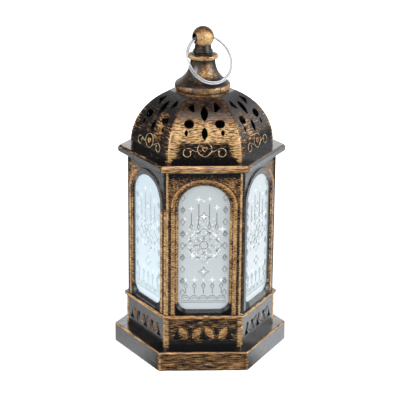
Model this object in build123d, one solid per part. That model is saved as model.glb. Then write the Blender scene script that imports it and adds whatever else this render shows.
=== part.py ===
from build123d import *
import os
from math import asin, cos, hypot, radians, sin, sqrt, tan

# Six-sided lantern, millimetres, +Z up, origin under the middle of the foot, a flat side to the front (-Y)
side_count = 6
side_turn = 360 / side_count
half_turn = side_turn / 2
overrun = 1.0

# Foot: a hollow hexagonal block with a flat top
foot_apothem = 32.1
foot_height = 8.4
foot_wall = 1.8
foot_deck = 2.0
foot_corner_round = 0.9
foot_lip_round = 0.7
foot_window_gap = 1.0

# Plinth: a hexagonal box that ends in a thin ledge, with a row of sunk darts on each side
plinth_apothem = 27.6
plinth_wall = 2.2
plinth_corner_round = 1.0
ledge_apothem = 28.5
ledge_bottom = 21.7
ledge_height = 1.6
ledge_lip_round = 0.6
dart_count = 5
dart_pitch = 5.5
dart_width = 3.7
hanging_dart_width = 2.4
dart_height = 5.0
dart_depth = 0.7
dart_bow_share = 0.19
dart_base_level = 12.4

# Window walls: six flat panels, mitred at the corners, each with a moulded arch round its window
wall_apothem = 27.5
wall_thickness = 2.5
wall_top = 86.3
wall_corner_facet = 1.3
mitre_gap = 0.06
window_half_width = 10.5
window_sill = 2.3
window_head = 6.2
window_arch_height = 9.05
window_corner_round = 4.0
bevel_width = 1.3
bevel_depth = 0.8
moulding_width = 3.1
moulding_crown = 2.7
moulding_groove = 0.8
moulding_height = 0.6
tab_width = 5.0
tab_thickness = 1.0
tab_depth = 1.1
tab_offset = 9.0
seat_clearance = 0.1

# Panes: thin sheets in rebates on the inner side of the walls
pane_thickness = 1.0
pane_lap = 1.3
pane_setback = 1.3

# Eave: a bevelled plate that caps the walls, with a rim inside them and a rim inside the dome
eave_apothem = 30.6
eave_height = 3.0
eave_top_bevel = 0.9
eave_bottom_bevel = 0.45
eave_corner_round = 1.2
rim_thickness = 1.6
rim_height = 3.0
dome_rim_height = 1.6

# Dome: six bent panels of one arc, pierced and closed by a flat top
dome_base_apothem = 25.85
dome_top_apothem = 11.85
dome_rise = 23.5
dome_bow = 4.25
dome_wall = 1.6
dome_rib_round = 1.0
dome_top_plate = 1.8

# Piercings of one dome panel: angle up the panel's arc, offset to each side and half sizes
upper_lens_angle = 45.6
upper_lens_half_height = 3.7
upper_lens_half_width = 1.55
lower_lens_angle = 25.0
lower_lens_half_height = 2.7
lower_lens_half_width = 1.25
round_hole_angle = 34.6
round_hole_offset = 6.2
round_hole_half_width = 2.1
round_hole_half_height = 1.95
drop_angle = 25.5
drop_offset = 7.4
drop_half_height = 1.35
drop_half_width = 0.75
barb_angle = 52.2
barb_offset = 3.95
barb_half_height = 2.3
barb_width = 2.9
barb_blunt_width = 0.9

# Finial: flange, rim, bell, collar with a sloping crown, drum, neck and ball in one turning
finial_flange_radius = 11.0
finial_flange_height = 0.7
finial_rim_radius = 11.55
finial_rim_height = 3.2
finial_rim_inset = 1.0
bell_waist_radius = 6.3
bell_waist_rise = 7.6
bell_neck_radius = 5.1
bell_rise = 13.0
bell_flare_slope_share = 0.6
collar_radius = 6.25
collar_height = 1.5
collar_round = 0.55
collar_crown_rise = 0.8
finial_drum_radius = 3.95
finial_drum_height = 1.1
finial_neck_radius = 3.6
finial_neck_top_radius = 3.25
finial_neck_height = 1.5
ball_radius = 4.5
ball_sink = 0.6
ring_hole_radius = 1.95
spigot_radius = 6.9
spigot_length = 1.6

# Split ring: two touching turns of round wire through the ball, lying against the bell
ring_mean_radius = 10.15
ring_wire_radius = 0.62
ring_turn_pitch = 1.05
ring_axis_azimuth = 30.0
ring_lean = 31.0
ring_lift = 0.3

# Screws and the washer under the dome
screw_fit = 0.05
screw_edge_share = 1 / 3
finial_screw_radius = 1.3
finial_screw_length = 12.0
finial_head_radius = 2.8
finial_head_height = 1.8
washer_radius = 8.4
washer_thickness = 1.0

# Bottom tray with its well for the coin cell, and the three long screws at alternate corners
tray_bottom = 1.2
tray_thickness = 1.8
tray_clearance = 0.25
base_screw_count = 3
base_screw_radius = 1.3
base_screw_length = 15.0
base_head_radius = 2.4
base_head_height = 1.3
base_head_recess = 1.0
base_boss_radius = 3.0
base_boss_gap = 0.75
base_hole_clearance = 0.2

# Battery door: a bayonet disc with three lugs and a coin slot
door_radius = 12.0
door_clearance = 0.2
door_lift = 0.1
lug_count = 3
lug_reach = 1.5
lug_height = 1.2
lug_span = 26.0
lug_slack = 4.0
lug_turn = 45.0
coin_slot_length = 14.0
coin_slot_width = 2.0
coin_slot_depth = 1.2

# Coin cell and its well
cell_radius = 10.0
cell_thickness = 3.2
cell_cap_radius = 8.6
cell_cap_height = 0.4
cell_seat_gap = 0.1
cell_guide_gap = 0.6
well_wall = 1.2
well_roof = 1.4

# Board, contacts and lamp
board_edge = 0.3
board_thickness = 1.2
board_rise = 1.5
board_screw_radius = 0.9
board_screw_length = 5.0
board_head_radius = 1.7
board_head_height = 1.0
board_boss_radius = 2.2
contact_thickness = 0.3
contact_width = 4.0
contact_touch_length = 3.0
contact_foot_length = 3.0
contact_foot_start = 8.0
side_contact_drop = 3.6
lamp_radius = 2.5
lamp_flange_radius = 2.9
lamp_flange_height = 1.0
lamp_body_height = 5.0
lamp_clearance = 0.1
lead_width = 0.5
lead_spacing = 2.54

# Slide switch under the board
switch_gap = 0.55
switch_length = 8.6
switch_width = 4.3
switch_height = 4.7
switch_wall = 0.5
switch_lip_length = 7.0
knob_length = 3.6
knob_width = 1.6
knob_below_tray = 0.4
knob_root_length = 4.4
knob_root_height = 1.4
switch_travel = 2.5
switch_clearance = 0.3

# Levels and places that follow from the sizes above
deck_top = ledge_bottom + ledge_height
eave_top = wall_top + eave_height
dome_top = eave_top + dome_rise
finial_base = dome_top + finial_flange_height
tray_top = tray_bottom + tray_thickness
window_bottom = deck_top + window_sill
window_top = wall_top - window_head
wall_inner = wall_apothem - wall_thickness
pane_outer = wall_apothem - pane_setback
collar_bottom = finial_base + bell_rise
collar_top = collar_bottom + collar_height
drum_bottom = collar_top + collar_crown_rise
neck_bottom = drum_bottom + finial_drum_height
ball_level = neck_bottom + finial_neck_height + ball_radius - ball_sink
half_corner = tan(radians(half_turn))
base_boss_apothem = plinth_apothem - plinth_wall - base_boss_radius - base_boss_gap
base_screw_circle = base_boss_apothem / cos(radians(half_turn))
well_radius = door_radius + lug_reach + door_clearance + well_wall
switch_offset = well_radius + switch_gap + switch_width / 2
board_screw_offset = well_radius + switch_gap + board_boss_radius
board_radius = hypot(switch_length / 2, switch_offset + switch_width / 2) + board_edge
foot_window_radius = board_radius + foot_window_gap


def hexagon(apothem, corner=0):
    """A hexagon given by its apothem, with its corners rounded."""
    outline = RegularPolygon(apothem, side_count, major_radius=False)
    return fillet(outline.vertices(), corner) if corner else outline


def prism(apothem, low, high, corner=0):
    """A hexagonal block between two levels."""
    return Pos(0, 0, low) * extrude(hexagon(apothem, corner), high - low)


def disc(radius, low, high, x=0, y=0):
    """An upright cylinder between two levels."""
    return Pos(x, y, low) * extrude(Circle(radius), high - low)


def block(length, width, low, high, x=0, y=0):
    """An upright box between two levels."""
    return Pos(x, y, low) * extrude(Rectangle(length, width), high - low)


def around(shape, count=side_count, start=0):
    """Copies of a shape turned about the lantern's axis."""
    return [Rot(0, 0, start + k * 360 / count) * shape for k in range(count)]


def front_plane(apothem):
    """The upright plane of the front side: x to the right, y up, normal to the front."""
    return Plane(origin=(0, -apothem, 0), x_dir=(1, 0, 0), z_dir=(0, -1, 0))


def outer_edges(solid, level):
    """The edges of a block's outline at one level."""
    return solid.faces().filter_by(Plane.XY).sort_by(Axis.Z)[level].outer_wire().edges()


def boss_places():
    """Middles of the three screw bosses, at alternate corners."""
    turns = [radians(side_turn + k * 360 / base_screw_count) for k in range(base_screw_count)]
    return [(base_screw_circle * cos(t), base_screw_circle * sin(t)) for t in turns]


def tab_slots(low, high):
    """Slots that take the tabs of all six walls."""
    middle = wall_inner + wall_thickness / 2
    slots = []
    for side in (-1, 1):
        slot = block(
            tab_width + 2 * seat_clearance,
            tab_thickness + 2 * seat_clearance,
            low,
            high,
            x=side * tab_offset,
            y=-middle,
        )
        slots += around(slot)
    return slots


def make_foot():
    """Open hexagonal block, a deck with a round window and three tubes for the long screws."""
    foot = prism(foot_apothem, 0, foot_height, foot_corner_round)
    foot = fillet(outer_edges(foot, -1), foot_lip_round)
    foot -= prism(foot_apothem - foot_wall, -overrun, foot_height - foot_deck)
    foot -= disc(foot_window_radius, 0, foot_height + overrun)
    for x, y in boss_places():
        foot += disc(base_boss_radius, tray_top, foot_height - foot_deck, x, y)
    for x, y in boss_places():
        foot -= disc(base_screw_radius + base_hole_clearance, 0, foot_height + overrun, x, y)
    return foot


def dart(number):
    """One sunk dart of the frieze: a triangle with hollow sides, in turn on its base and on its tip."""
    bottom, top = dart_base_level, dart_base_level + dart_height
    hanging = number % 2
    base, point = (top, bottom) if hanging else (bottom, top)
    half = (hanging_dart_width if hanging else dart_width) / 2
    side = -1 if hanging else 1
    left, right, tip = (-side * half, base), (side * half, base), (0, point)
    bow = half * dart_bow_share
    outline = SagittaArc(right, tip, bow) + SagittaArc(tip, left, bow) + Line(left, right)
    place = Pos((number - (dart_count - 1) / 2) * dart_pitch, 0, 0)
    face = place * front_plane(plinth_apothem) * make_face(outline)
    return extrude(face, -dart_depth) + extrude(face, overrun)


def make_plinth():
    """Box with ledge and lamp deck, the frieze, the slots for the walls and the long screws' bosses."""
    plinth = prism(plinth_apothem, foot_height, ledge_bottom, plinth_corner_round)
    ledge = prism(ledge_apothem, ledge_bottom, deck_top, plinth_corner_round)
    plinth += fillet(outer_edges(ledge, -1) + outer_edges(ledge, 0), ledge_lip_round)
    plinth -= prism(plinth_apothem - plinth_wall, foot_height - overrun, ledge_bottom)
    plinth += prism(wall_inner - seat_clearance, deck_top, deck_top + rim_height)
    plinth -= prism(wall_inner - seat_clearance - rim_thickness, deck_top, deck_top + rim_height + overrun)
    for number in range(dart_count):
        plinth -= around(dart(number))
    plinth -= tab_slots(deck_top - tab_depth - seat_clearance, deck_top + overrun)
    plinth -= disc(lamp_radius + lamp_clearance, ledge_bottom - overrun, deck_top + overrun)
    screw_tip = tray_bottom + base_head_recess + base_screw_length
    for x, y in boss_places():
        plinth += disc(base_boss_radius, foot_height, ledge_bottom, x, y)
    for x, y in boss_places():
        plinth -= disc(base_screw_radius + screw_fit, foot_height - overrun, screw_tip + overrun, x, y)
    return plinth


def arch(half_width, bottom, top, rise, corner=0):
    """An opening with upright sides and an elliptic head."""
    spring = top - rise
    left = (-half_width, spring)
    head = EllipticalCenterArc((0, spring), half_width, rise, start_angle=0, arc_size=180)
    feet = Polyline(left, (-half_width, bottom), (half_width, bottom), (half_width, spring))
    outline = make_face(head + feet)
    if not corner:
        return outline
    lower = outline.vertices().group_by(Axis.Y)[0]
    return fillet(lower, corner)


def window_arch(margin, corner=0):
    """The window's outline, let out by a margin."""
    return arch(
        window_half_width + margin,
        window_bottom - margin,
        window_top + margin,
        window_arch_height + margin,
        corner,
    )


def make_wall():
    """Front wall: mitred panel with corner strips, a bevelled arch, a rebate for the pane and four tabs."""
    outer = wall_apothem * half_corner - mitre_gap
    inner = wall_inner * half_corner - mitre_gap
    facet_in = wall_corner_facet * sin(radians(half_turn)) / 2
    facet_back = wall_corner_facet * cos(radians(half_turn)) / 2
    right_half = [
        (outer - wall_corner_facet, -wall_apothem),
        (outer - facet_in, facet_back - wall_apothem),
        (inner, -wall_inner),
    ]
    left_half = [(-x, y) for x, y in reversed(right_half)]
    plan = make_face(Polyline(*right_half, *left_half, close=True))
    wall = Pos(0, 0, deck_top) * extrude(plan, wall_top - deck_top)

    field_half = window_half_width + moulding_width + moulding_groove
    band = arch(
        window_half_width + moulding_width,
        deck_top - overrun,
        window_top + moulding_crown,
        window_arch_height + moulding_crown,
    )
    field = Pos(0, (deck_top + wall_top) / 2) * Rectangle(2 * field_half, wall_top - deck_top + overrun)
    sunk = front_plane(wall_apothem) * (field - band)
    wall -= extrude(sunk, -moulding_height)

    window = front_plane(wall_apothem) * window_arch(0, window_corner_round)
    wall -= extrude(window, -wall_thickness - overrun)
    crest = front_plane(wall_apothem) * window_arch(bevel_width, window_corner_round + bevel_width)
    edge = front_plane(wall_apothem - bevel_depth) * window_arch(0, window_corner_round)
    wall -= loft([crest, edge], ruled=True)

    rebate = front_plane(pane_outer) * window_arch(pane_lap + seat_clearance)
    wall -= extrude(rebate, pane_outer - wall_inner + overrun, dir=(0, 1, 0))

    middle = wall_inner + wall_thickness / 2
    for side in (-1, 1):
        x = side * tab_offset
        wall += block(tab_width, tab_thickness, deck_top - tab_depth, deck_top, x, -middle)
        wall += block(tab_width, tab_thickness, wall_top, wall_top + tab_depth, x, -middle)
    return wall


def make_pane():
    """Front pane: a plain sheet with the window's arched outline."""
    sheet = front_plane(pane_outer) * window_arch(pane_lap)
    return extrude(sheet, pane_thickness, dir=(0, 1, 0))


def make_eave():
    """Bevelled plate with a wide hole, a rim below inside the walls and a rim above inside the dome."""
    plate = prism(eave_apothem, wall_top, eave_top, eave_corner_round)
    plate = chamfer(outer_edges(plate, -1), eave_top_bevel)
    plate = chamfer(outer_edges(plate, 0), eave_bottom_bevel)
    dome_inner = dome_base_apothem - dome_wall
    plate += prism(wall_inner - seat_clearance, wall_top - rim_height, wall_top)
    plate += prism(dome_inner - seat_clearance, eave_top, eave_top + dome_rim_height)
    hole = dome_inner - seat_clearance - rim_thickness
    plate -= prism(hole, wall_top - rim_height - overrun, eave_top + dome_rim_height + overrun)
    return plate - tab_slots(wall_top - overrun, wall_top + tab_depth + seat_clearance)


def dome_arc():
    """Centre and radius of the arc that every dome panel follows, in apothem and height over the eave."""
    run = dome_base_apothem - dome_top_apothem
    chord = hypot(run, dome_rise)
    radius = (chord**2 / 4 + dome_bow**2) / (2 * dome_bow)
    inward = (radius - dome_bow) / chord
    middle = dome_top_apothem + run / 2
    return middle - dome_rise * inward, dome_rise / 2 - run * inward, radius


def vault(inset, top):
    """Hexagonal vault: three barrels of the dome's arc crossing each other, drawn in by an inset."""
    x, y, radius = dome_arc()
    radius -= inset
    base = x + sqrt(radius**2 - y**2)
    crown = x + sqrt(radius**2 - (top - y) ** 2)
    middle = (asin((top - y) / radius) + asin(-y / radius)) / 2
    half_way = (x + radius * cos(middle), y + radius * sin(middle))
    right = ThreePointArc((base, 0), half_way, (crown, top))
    left = ThreePointArc((-crown, top), (-half_way[0], half_way[1]), (-base, 0))
    outline = right + Line((crown, top), (-crown, top)) + left + Line((-base, 0), (base, 0))
    section = Plane.YZ * make_face(outline)
    barrel = extrude(section, foot_apothem, both=True)
    crossed = barrel & Rot(0, 0, side_turn) * barrel & Rot(0, 0, 2 * side_turn) * barrel
    return Pos(0, 0, eave_top) * crossed


def lens(half_width, half_height):
    """A pointed oval between two arcs."""
    top, bottom = (0, half_height), (0, -half_height)
    right = ThreePointArc(bottom, (half_width, 0), top)
    left = ThreePointArc(top, (-half_width, 0), bottom)
    return make_face(right + left)


def piercing(outline, angle, offset=0):
    """A cutter through the front dome panel, square to it at an angle up its arc."""
    x, y, radius = dome_arc()
    out = radians(angle)
    place = (offset, -(x + radius * cos(out)), eave_top + y + radius * sin(out))
    plane = Plane(origin=place, x_dir=(1, 0, 0), z_dir=(0, -cos(out), sin(out)))
    return extrude(plane * outline, dome_wall + overrun, both=True)


def make_dome():
    """Thin vault with rounded ribs, a flat top for the finial and eight piercings in each panel."""
    outer = vault(0, dome_rise)
    ribs = [e for e in outer.edges() if e.bounding_box().size.Z > dome_rise / 2]
    dome = fillet(ribs, dome_rib_round)
    dome -= vault(dome_wall, dome_rise - dome_top_plate)
    cutters = [
        piercing(lens(upper_lens_half_width, upper_lens_half_height), upper_lens_angle),
        piercing(lens(lower_lens_half_width, lower_lens_half_height), lower_lens_angle),
    ]
    round_hole = Ellipse(round_hole_half_width, round_hole_half_height)
    for side in (-1, 1):
        bottom, top = (0, -barb_half_height), (0, barb_half_height)
        low = (side * barb_blunt_width, -barb_half_height)
        tip = (side * barb_width, 0)
        high = (side * barb_blunt_width, barb_half_height)
        barb = make_face(Polyline(bottom, low, tip, high, top, close=True))
        cutters += [
            piercing(round_hole, round_hole_angle, side * round_hole_offset),
            piercing(lens(drop_half_width, drop_half_height), drop_angle, side * drop_offset),
            piercing(barb, barb_angle, side * barb_offset),
        ]
    for cutter in cutters:
        dome -= around(cutter)
    plate_bottom = dome_top - dome_top_plate
    return dome - disc(spigot_radius + seat_clearance, plate_bottom - overrun, dome_top + overrun)


def ring_axis():
    """Direction of the hole through the ball."""
    azimuth = radians(ring_axis_azimuth)
    return Vector(cos(azimuth), sin(azimuth), 0)


def make_finial():
    """One turning from flange to ball, with a spigot, a blind hole for its screw and the ring's hole."""
    foot_radius = finial_rim_radius - finial_rim_inset
    rim_middle = finial_base + finial_rim_height / 2
    rim_top = finial_base + finial_rim_height
    waist = (bell_waist_radius, finial_base + bell_waist_rise)
    neck = (bell_neck_radius, collar_bottom)
    spigot_bottom = dome_top - spigot_length
    ball_foot = sqrt(ball_radius**2 - finial_neck_top_radius**2)
    profile = (
        Polyline(
            (0, spigot_bottom),
            (spigot_radius, spigot_bottom),
            (spigot_radius, dome_top),
            (finial_flange_radius, dome_top),
            (finial_flange_radius, finial_base),
            (foot_radius, finial_base),
        )
        + ThreePointArc((foot_radius, finial_base), (finial_rim_radius, rim_middle), (foot_radius, rim_top))
        + Spline((foot_radius, rim_top), waist, neck, tangents=[(-1, bell_flare_slope_share), (0, 1)])
        + Polyline(
            neck,
            (collar_radius, collar_bottom),
            (collar_radius, collar_top),
            (finial_drum_radius, drum_bottom),
            (finial_drum_radius, neck_bottom),
            (finial_neck_radius, neck_bottom),
            (finial_neck_top_radius, ball_level - ball_foot),
        )
        + ThreePointArc(
            (finial_neck_top_radius, ball_level - ball_foot),
            (ball_radius, ball_level),
            (0, ball_level + ball_radius),
        )
        + Line((0, ball_level + ball_radius), (0, spigot_bottom))
    )
    finial = revolve(Plane.XZ * make_face(profile), Axis.Z)
    circles = finial.edges().filter_by(GeomType.CIRCLE)
    collar = [e for e in circles if abs(e.radius - collar_radius) < screw_fit]
    finial = fillet(collar, collar_round)
    finial -= disc(finial_screw_radius + screw_fit, spigot_bottom - overrun, finial_screw_tip() + overrun)
    across = Plane(origin=(0, 0, ball_level), z_dir=ring_axis())
    return finial - extrude(across * Circle(ring_hole_radius), ball_radius + overrun, both=True)


def make_split_ring():
    """Two touching turns of wire as one ring, hung in the ball's hole and leaning on the bell."""
    turns = Circle(ring_wire_radius)
    half_pitch = ring_turn_pitch / 2
    pair = Pos(0, half_pitch) * turns + Pos(0, -half_pitch) * turns
    ring = revolve(Plane.XZ * (Pos(ring_mean_radius, 0) * pair), Axis.Z)
    out = radians(ring_lean)
    axis = ring_axis()
    away = Vector(axis.Y, -axis.X, 0)
    down = away * sin(out) - Vector(0, 0, 1) * cos(out)
    middle = Vector(0, 0, ball_level) + down * (ring_mean_radius - ring_lift)
    return Plane(origin=middle, x_dir=axis, z_dir=axis.cross(down)) * ring


def screw(radius, length, head_radius, head_height, seat):
    """A pan screw pointing up, with the underside of its head at a level."""
    head = disc(head_radius, seat - head_height, seat)
    head = chamfer(outer_edges(head, 0), head_height * screw_edge_share)
    return head + disc(radius, seat, seat + length)


def finial_screw_seat():
    """Level of the washer's underside."""
    return dome_top - dome_top_plate - washer_thickness


def finial_screw_tip():
    """Level of the finial screw's tip."""
    return finial_screw_seat() + finial_screw_length


def make_washer():
    """Washer that spreads the finial screw's pull over the dome's top plate."""
    top = dome_top - dome_top_plate
    washer = disc(washer_radius, finial_screw_seat(), top)
    return washer - disc(finial_screw_radius + screw_fit, finial_screw_seat() - overrun, top + overrun)


def lug_top():
    """Level of the top of the door's lugs."""
    return tray_top + door_lift + lug_height


def cell_bottom():
    """Level of the coin cell's underside."""
    return lug_top() + door_clearance + well_roof / 2


def board_bottom():
    """Level of the board's underside."""
    return cell_bottom() + cell_thickness + cell_cap_height + board_rise


def lug_ring(radius, span, low, high):
    """Sectors of a disc, one for each lug."""
    spread = radians(span / 2)
    reach = 2 * radius
    wedge = make_face(
        Polyline(
            (0, 0),
            (reach * cos(spread), -reach * sin(spread)),
            (reach * cos(spread), reach * sin(spread)),
            close=True,
        )
    )
    sector = Pos(0, 0, low) * extrude(wedge & Circle(radius), high - low)
    return around(sector, lug_count)


def make_tray():
    """Bottom plate with the door's bayonet hole, the cell well, board bosses and the switch slot."""
    tray = prism(foot_apothem - foot_wall - tray_clearance, tray_bottom, tray_top)
    lug_radius = well_radius - well_wall
    roof_bottom = lug_top() + door_clearance
    roof_top = roof_bottom + well_roof
    guide = cell_radius + cell_guide_gap
    tray += disc(well_radius, tray_top, roof_top)
    tray += disc(guide + well_wall, roof_top, board_bottom())
    tray -= disc(lug_radius, tray_top, roof_bottom)
    tray -= disc(guide, roof_bottom - overrun, board_bottom() + overrun)
    tray -= disc(door_radius + door_clearance, tray_bottom - overrun, tray_top)
    notches = lug_ring(lug_radius, lug_span + lug_slack, tray_bottom - overrun, tray_top)
    tray -= [Rot(0, 0, -lug_turn) * notch for notch in notches]
    for side in (-1, 1):
        tray += disc(board_boss_radius, tray_top, board_bottom(), side * board_screw_offset)
        low = board_bottom() + board_thickness - board_screw_length - overrun
        hole = disc(board_screw_radius + screw_fit, low, board_bottom() + overrun)
        tray -= Pos(side * board_screw_offset, 0, 0) * hole
    for x, y in boss_places():
        tray -= disc(base_screw_radius + base_hole_clearance, 0, tray_top + overrun, x, y)
        tray -= disc(base_head_radius + base_hole_clearance, 0, tray_bottom + base_head_recess, x, y)
    slot = block(
        knob_length + switch_travel + 2 * switch_clearance,
        knob_width + 2 * switch_clearance,
        tray_bottom - overrun,
        tray_top + overrun,
        y=-switch_offset,
    )
    return tray - slot


def make_door():
    """Round door with three lugs over the tray, a pad under the cell and a coin slot."""
    door = disc(door_radius, tray_bottom, lug_top())
    for lug in lug_ring(door_radius + lug_reach, lug_span, tray_top + door_lift, lug_top()):
        door += lug
    door += disc(cell_cap_radius, lug_top(), cell_bottom() - cell_seat_gap)
    return door - block(coin_slot_length, coin_slot_width, tray_bottom, tray_bottom + coin_slot_depth)


def make_cell():
    """Coin cell with its smaller cap upwards."""
    can = disc(cell_radius, cell_bottom(), cell_bottom() + cell_thickness)
    return can + disc(
        cell_cap_radius,
        cell_bottom() + cell_thickness,
        cell_bottom() + cell_thickness + cell_cap_height,
    )


def make_board():
    """Round board with holes for its screws and for the lamp's leads."""
    board = disc(board_radius, board_bottom(), board_bottom() + board_thickness)
    for side in (-1, 1):
        hole = disc(board_screw_radius + screw_fit, 0, ledge_bottom, side * board_screw_offset)
        lead = lead_width + 2 * screw_fit
        board -= [hole, block(lead, lead, 0, ledge_bottom, x=side * lead_spacing / 2)]
    return board


def make_negative_contact():
    """Leaf spring from the board down to the middle of the cell's cap."""
    top = board_bottom()
    touch = cell_bottom() + cell_thickness + cell_cap_height
    half = contact_touch_length / 2
    path = Polyline(
        (contact_foot_start, top - contact_thickness / 2),
        (contact_foot_start - contact_foot_length, top - contact_thickness / 2),
        (half, touch + contact_thickness / 2),
        (-half, touch + contact_thickness / 2),
    )
    strip = trace(path, contact_thickness)
    return extrude(Plane.XZ * strip, contact_width / 2, both=True)


def make_positive_contact():
    """Upright strip in the well that touches the side of the cell's can."""
    top = board_bottom()
    outside = cell_radius + contact_thickness + cell_seat_gap
    strip = block(contact_thickness, contact_width, top - side_contact_drop, top)
    return Pos(-(outside - contact_thickness / 2), 0, 0) * strip


def make_lamp():
    """Round-nosed lamp that stands through the deck, its flange under it."""
    flange = disc(lamp_flange_radius, ledge_bottom - lamp_flange_height, ledge_bottom)
    nose_level = ledge_bottom + lamp_body_height
    upright = (Align.CENTER, Align.CENTER, Align.MIN)
    nose = Pos(0, 0, nose_level) * Sphere(lamp_radius, arc_size1=0, align=upright)
    return flange + disc(lamp_radius, ledge_bottom, nose_level) + nose


def make_leads():
    """Two straight leads from the board to the lamp."""
    low, high = board_bottom(), ledge_bottom - lamp_flange_height
    return [block(lead_width, lead_width, low, high, x=side * lead_spacing / 2) for side in (-1, 1)]


def make_switch():
    """Switch housing on the board's underside, open below for its knob."""
    top = board_bottom()
    low = top - switch_height
    housing = block(switch_length, switch_width, low, top)
    inner = switch_width - 2 * switch_wall
    housing -= block(switch_length - 2 * switch_wall, inner, low + switch_wall, top - switch_wall)
    gap = knob_width + 2 * switch_clearance
    housing -= block(switch_lip_length, gap, low - overrun, low + switch_wall)
    return Pos(0, -switch_offset, 0) * housing


def make_knob():
    """Knob with a wide root in the housing and a stem through the tray, at the left end of its travel."""
    low = board_bottom() - switch_height + switch_wall
    root_low = low + seat_clearance
    root_width = switch_width - 2 * switch_wall - 2 * switch_clearance
    root = block(knob_root_length, root_width, root_low, root_low + knob_root_height)
    stem = block(knob_length, knob_width, tray_bottom - knob_below_tray, root_low)
    return Pos(-switch_travel / 2, -switch_offset, 0) * (stem + root)


parts = {
    "foot": make_foot(),
    "plinth": make_plinth(),
    "eave": make_eave(),
    "dome": make_dome(),
    "finial": make_finial(),
    "finial_washer": make_washer(),
    "finial_screw": screw(
        finial_screw_radius,
        finial_screw_length,
        finial_head_radius,
        finial_head_height,
        finial_screw_seat(),
    ),
    "split_ring": make_split_ring(),
    "base_tray": make_tray(),
    "battery_door": make_door(),
    "coin_cell": make_cell(),
    "circuit_board": make_board(),
    "contact_negative": make_negative_contact(),
    "contact_positive": make_positive_contact(),
    "led_lamp": make_lamp(),
    "led_leads": Compound(children=make_leads()),
    "switch_housing": make_switch(),
    "switch_knob": make_knob(),
}
base_screw = screw(
    base_screw_radius,
    base_screw_length,
    base_head_radius,
    base_head_height,
    tray_bottom + base_head_recess,
)
parts["base_screws"] = Compound(children=[Pos(x, y, 0) * base_screw for x, y in boss_places()])
board_screw = Rot(180, 0, 0) * screw(
    board_screw_radius,
    board_screw_length,
    board_head_radius,
    board_head_height,
    0,
)
board_top = board_bottom() + board_thickness
parts["board_screws"] = Compound(
    children=[Pos(side * board_screw_offset, 0, board_top) * board_screw for side in (-1, 1)]
)
for number, (wall, pane) in enumerate(zip(around(make_wall()), around(make_pane())), start=1):
    parts[f"wall_panel_{number}"] = wall
    parts[f"window_pane_{number}"] = pane

os.makedirs("parts", exist_ok=True)
for name, part in parts.items():
    export_step(part, f"parts/{name}.step")
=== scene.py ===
from math import cos, pi, radians, sin, sqrt, tan, tau

import bmesh
import bpy
from mathutils import Matrix, Vector


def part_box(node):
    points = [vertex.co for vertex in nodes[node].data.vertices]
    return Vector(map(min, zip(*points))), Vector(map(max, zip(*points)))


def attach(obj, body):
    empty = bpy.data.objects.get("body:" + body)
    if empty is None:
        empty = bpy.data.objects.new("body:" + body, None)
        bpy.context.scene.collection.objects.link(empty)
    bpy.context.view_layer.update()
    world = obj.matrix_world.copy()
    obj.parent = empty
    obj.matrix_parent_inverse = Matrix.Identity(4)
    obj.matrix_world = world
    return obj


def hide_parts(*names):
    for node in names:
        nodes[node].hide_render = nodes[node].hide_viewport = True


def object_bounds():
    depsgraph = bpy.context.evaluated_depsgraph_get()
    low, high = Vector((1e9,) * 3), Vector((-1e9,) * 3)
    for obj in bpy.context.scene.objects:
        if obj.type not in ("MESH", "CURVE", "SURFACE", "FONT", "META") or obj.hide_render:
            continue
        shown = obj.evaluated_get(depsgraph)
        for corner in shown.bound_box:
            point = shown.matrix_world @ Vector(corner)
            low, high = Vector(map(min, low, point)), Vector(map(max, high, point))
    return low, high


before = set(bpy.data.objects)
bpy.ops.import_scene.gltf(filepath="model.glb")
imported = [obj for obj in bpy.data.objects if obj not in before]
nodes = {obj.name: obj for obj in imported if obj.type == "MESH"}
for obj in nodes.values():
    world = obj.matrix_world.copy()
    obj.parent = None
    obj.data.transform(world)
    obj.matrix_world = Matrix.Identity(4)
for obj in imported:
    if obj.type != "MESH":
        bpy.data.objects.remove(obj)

cad_low, cad_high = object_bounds()
scene = bpy.context.scene
scene.view_settings.view_transform = "Standard"


# Camera: a long lens 0.63 m from the lantern, a little to the left of its front side and above its dome.
# Its angles and its lens come from the corners of the foot and the eave in a 400 x 400 picture.
camera_distance = 0.6298
camera_height = 0.2871
camera_azimuth = radians(-2.562)
camera_heading = radians(-2.508)
camera_pitch = radians(19.472)
camera_roll = radians(0.557)
lens_length = 141.74

forward = Vector((-sin(camera_heading), cos(camera_heading), 0)) * cos(camera_pitch)
forward.z = -sin(camera_pitch)
level_right = Vector((cos(camera_heading), sin(camera_heading), 0))
level_up = level_right.cross(forward)
picture_right = level_right * cos(camera_roll) + level_up * sin(camera_roll)
picture_up = level_up * cos(camera_roll) - level_right * sin(camera_roll)
camera = bpy.data.objects.new("camera", bpy.data.cameras.new("camera"))
camera.data.lens = lens_length
camera.data.clip_start = 0.01
stand = Vector((sin(camera_azimuth), -cos(camera_azimuth), 0)) * camera_distance
stand.z = camera_height
picture_axes = Matrix((picture_right, picture_up, -forward)).transposed()
camera.matrix_world = Matrix.Translation(stand) @ picture_axes.to_4x4()
scene.collection.objects.link(camera)
scene.camera = camera


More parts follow.
